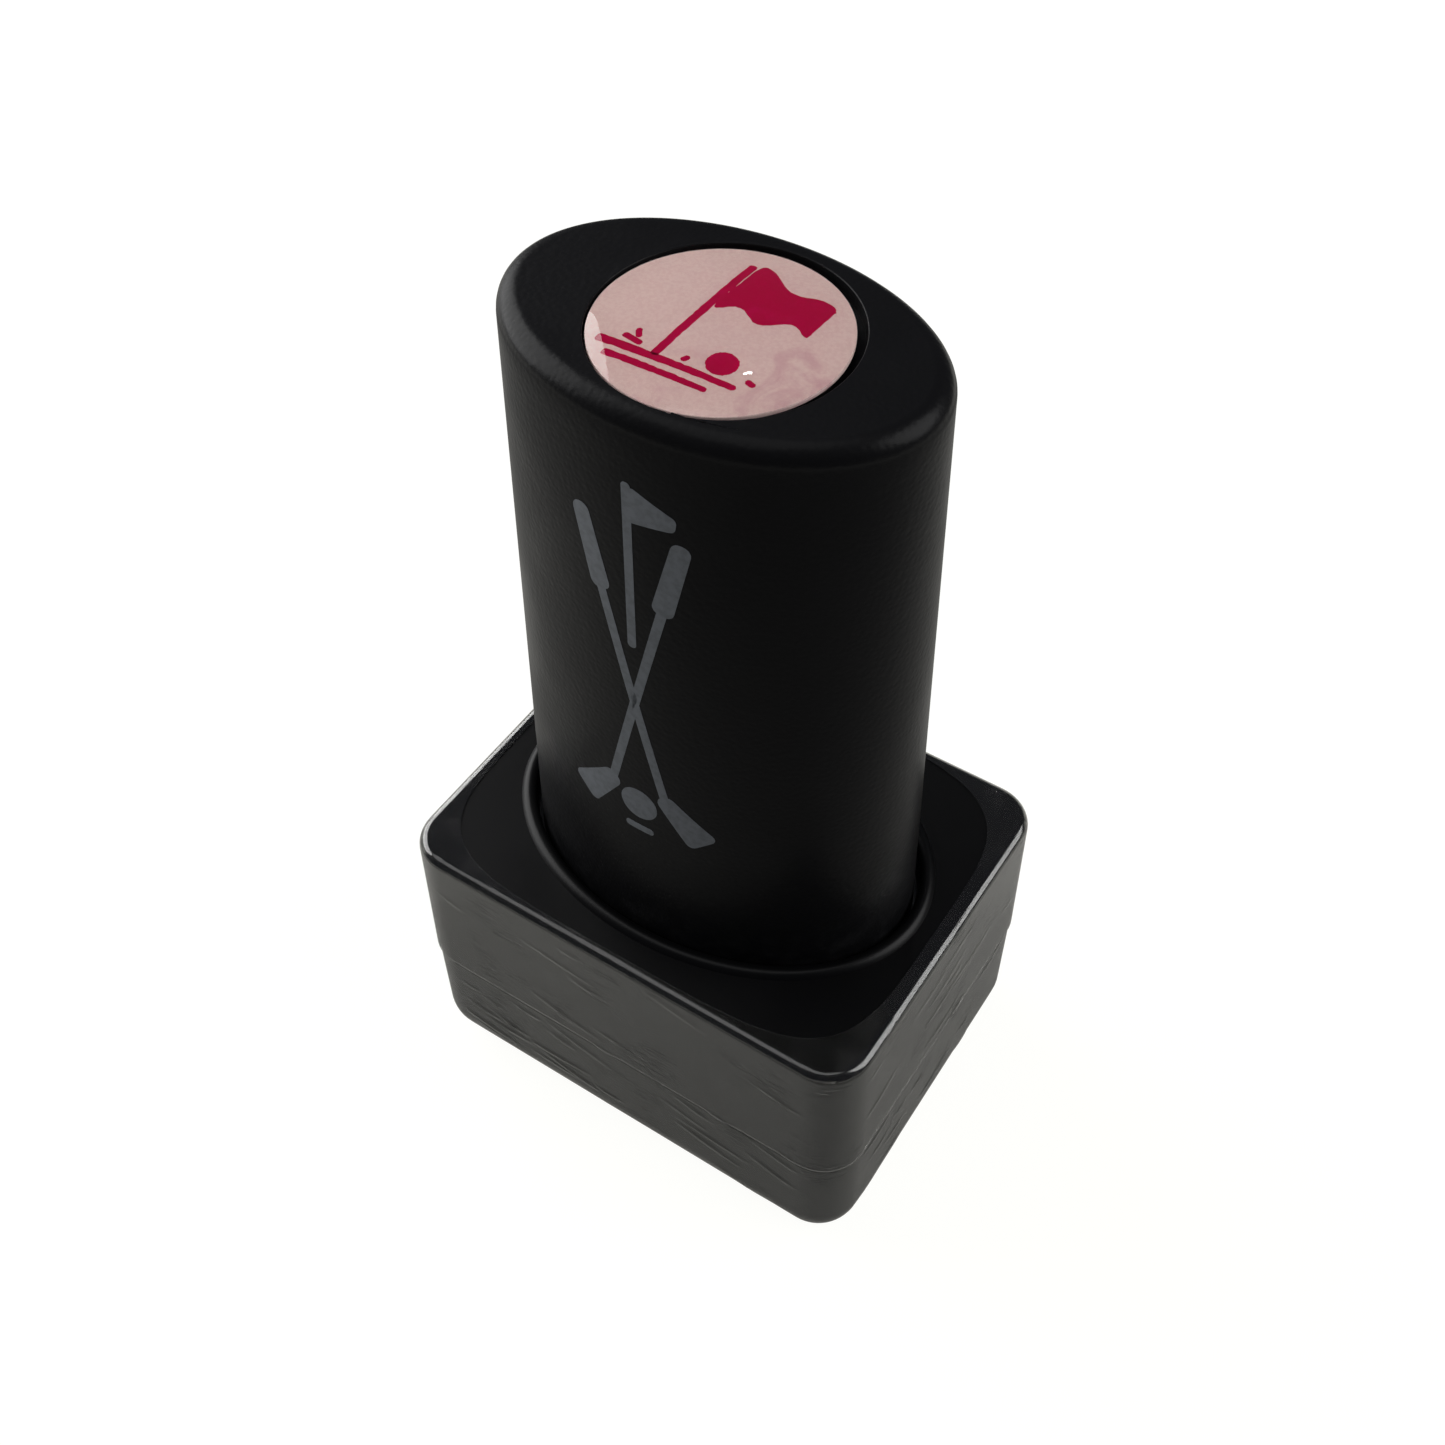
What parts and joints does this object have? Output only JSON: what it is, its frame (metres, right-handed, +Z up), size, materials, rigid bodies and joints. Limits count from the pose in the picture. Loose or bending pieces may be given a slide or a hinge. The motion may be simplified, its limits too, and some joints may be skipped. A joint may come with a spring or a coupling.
{
  "type": "golf ball marking stamp",
  "caption": "Pre-inked golf ball stamp: oval push handle with a domed round label, block base on a pull-off dust cap, and a clear shrink band.",
  "frame": {"origin": "centre of the dust cap's underside, on the surface that the stamp stands on", "axes": "+Z up along the handle, +X along the base's long side, +Y along its short side"},
  "size_m": [0.0318, 0.0244, 0.0578],
  "materials": {
    "soft_touch": "black soft-touch coat with a fine leather-like texture",
    "base_plastic": "black moulded plastic, satin",
    "inner_plastic": "dark grey moulded plastic",
    "film": "clear glossy shrink film with fine creases",
    "label_print": "pale pink printed paper with a magenta motif",
    "dome": "clear domed resin",
    "spring_steel": "bright spring wire",
    "screw_steel": "zinc-plated steel",
    "die_foam": "porous foam soaked in magenta ink",
    "ink_felt": "ink-soaked felt",
    "ring_rubber": "soft matte rubber",
    "liner_foam": "closed-cell pale foam"
  },
  "bodies": {
    "cap": {"dust_cap": "base_plastic", "cap_liner": "liner_foam", "shrink_film_lower": "film"},
    "housing": {"base_housing": "base_plastic", "shrink_film_upper": "film", "foot_frame": "inner_plastic", "ball_cradle": "ring_rubber", "frame_screw_1": "screw_steel", "frame_screw_2": "screw_steel", "frame_screw_3": "screw_steel", "frame_screw_4": "screw_steel", "return_spring_left": "spring_steel", "return_spring_right": "spring_steel"},
    "handle": {"handle_shell": "soft_touch", "label_disc": "label_print", "label_dome": "dome", "plunger_core": "inner_plastic", "core_screw_1": "screw_steel", "core_screw_2": "screw_steel", "die_holder": "inner_plastic", "ink_pad": "ink_felt", "stamp_die": "die_foam", "die_frame": "inner_plastic"}
  },
  "joints": [
    {"name": "cap_release", "type": "slide", "parent": "cap", "child": "housing", "axis": [0, 0, 1], "range_m": [0, 0.016]},
    {"name": "handle_press", "type": "slide", "parent": "housing", "child": "handle", "axis": [0, 0, -1], "range_m": [0, 0.003], "stiffness_N_per_m": 900, "springref_m": -0.0015, "deforming": ["return_spring_left", "return_spring_right"]}
  ]
}
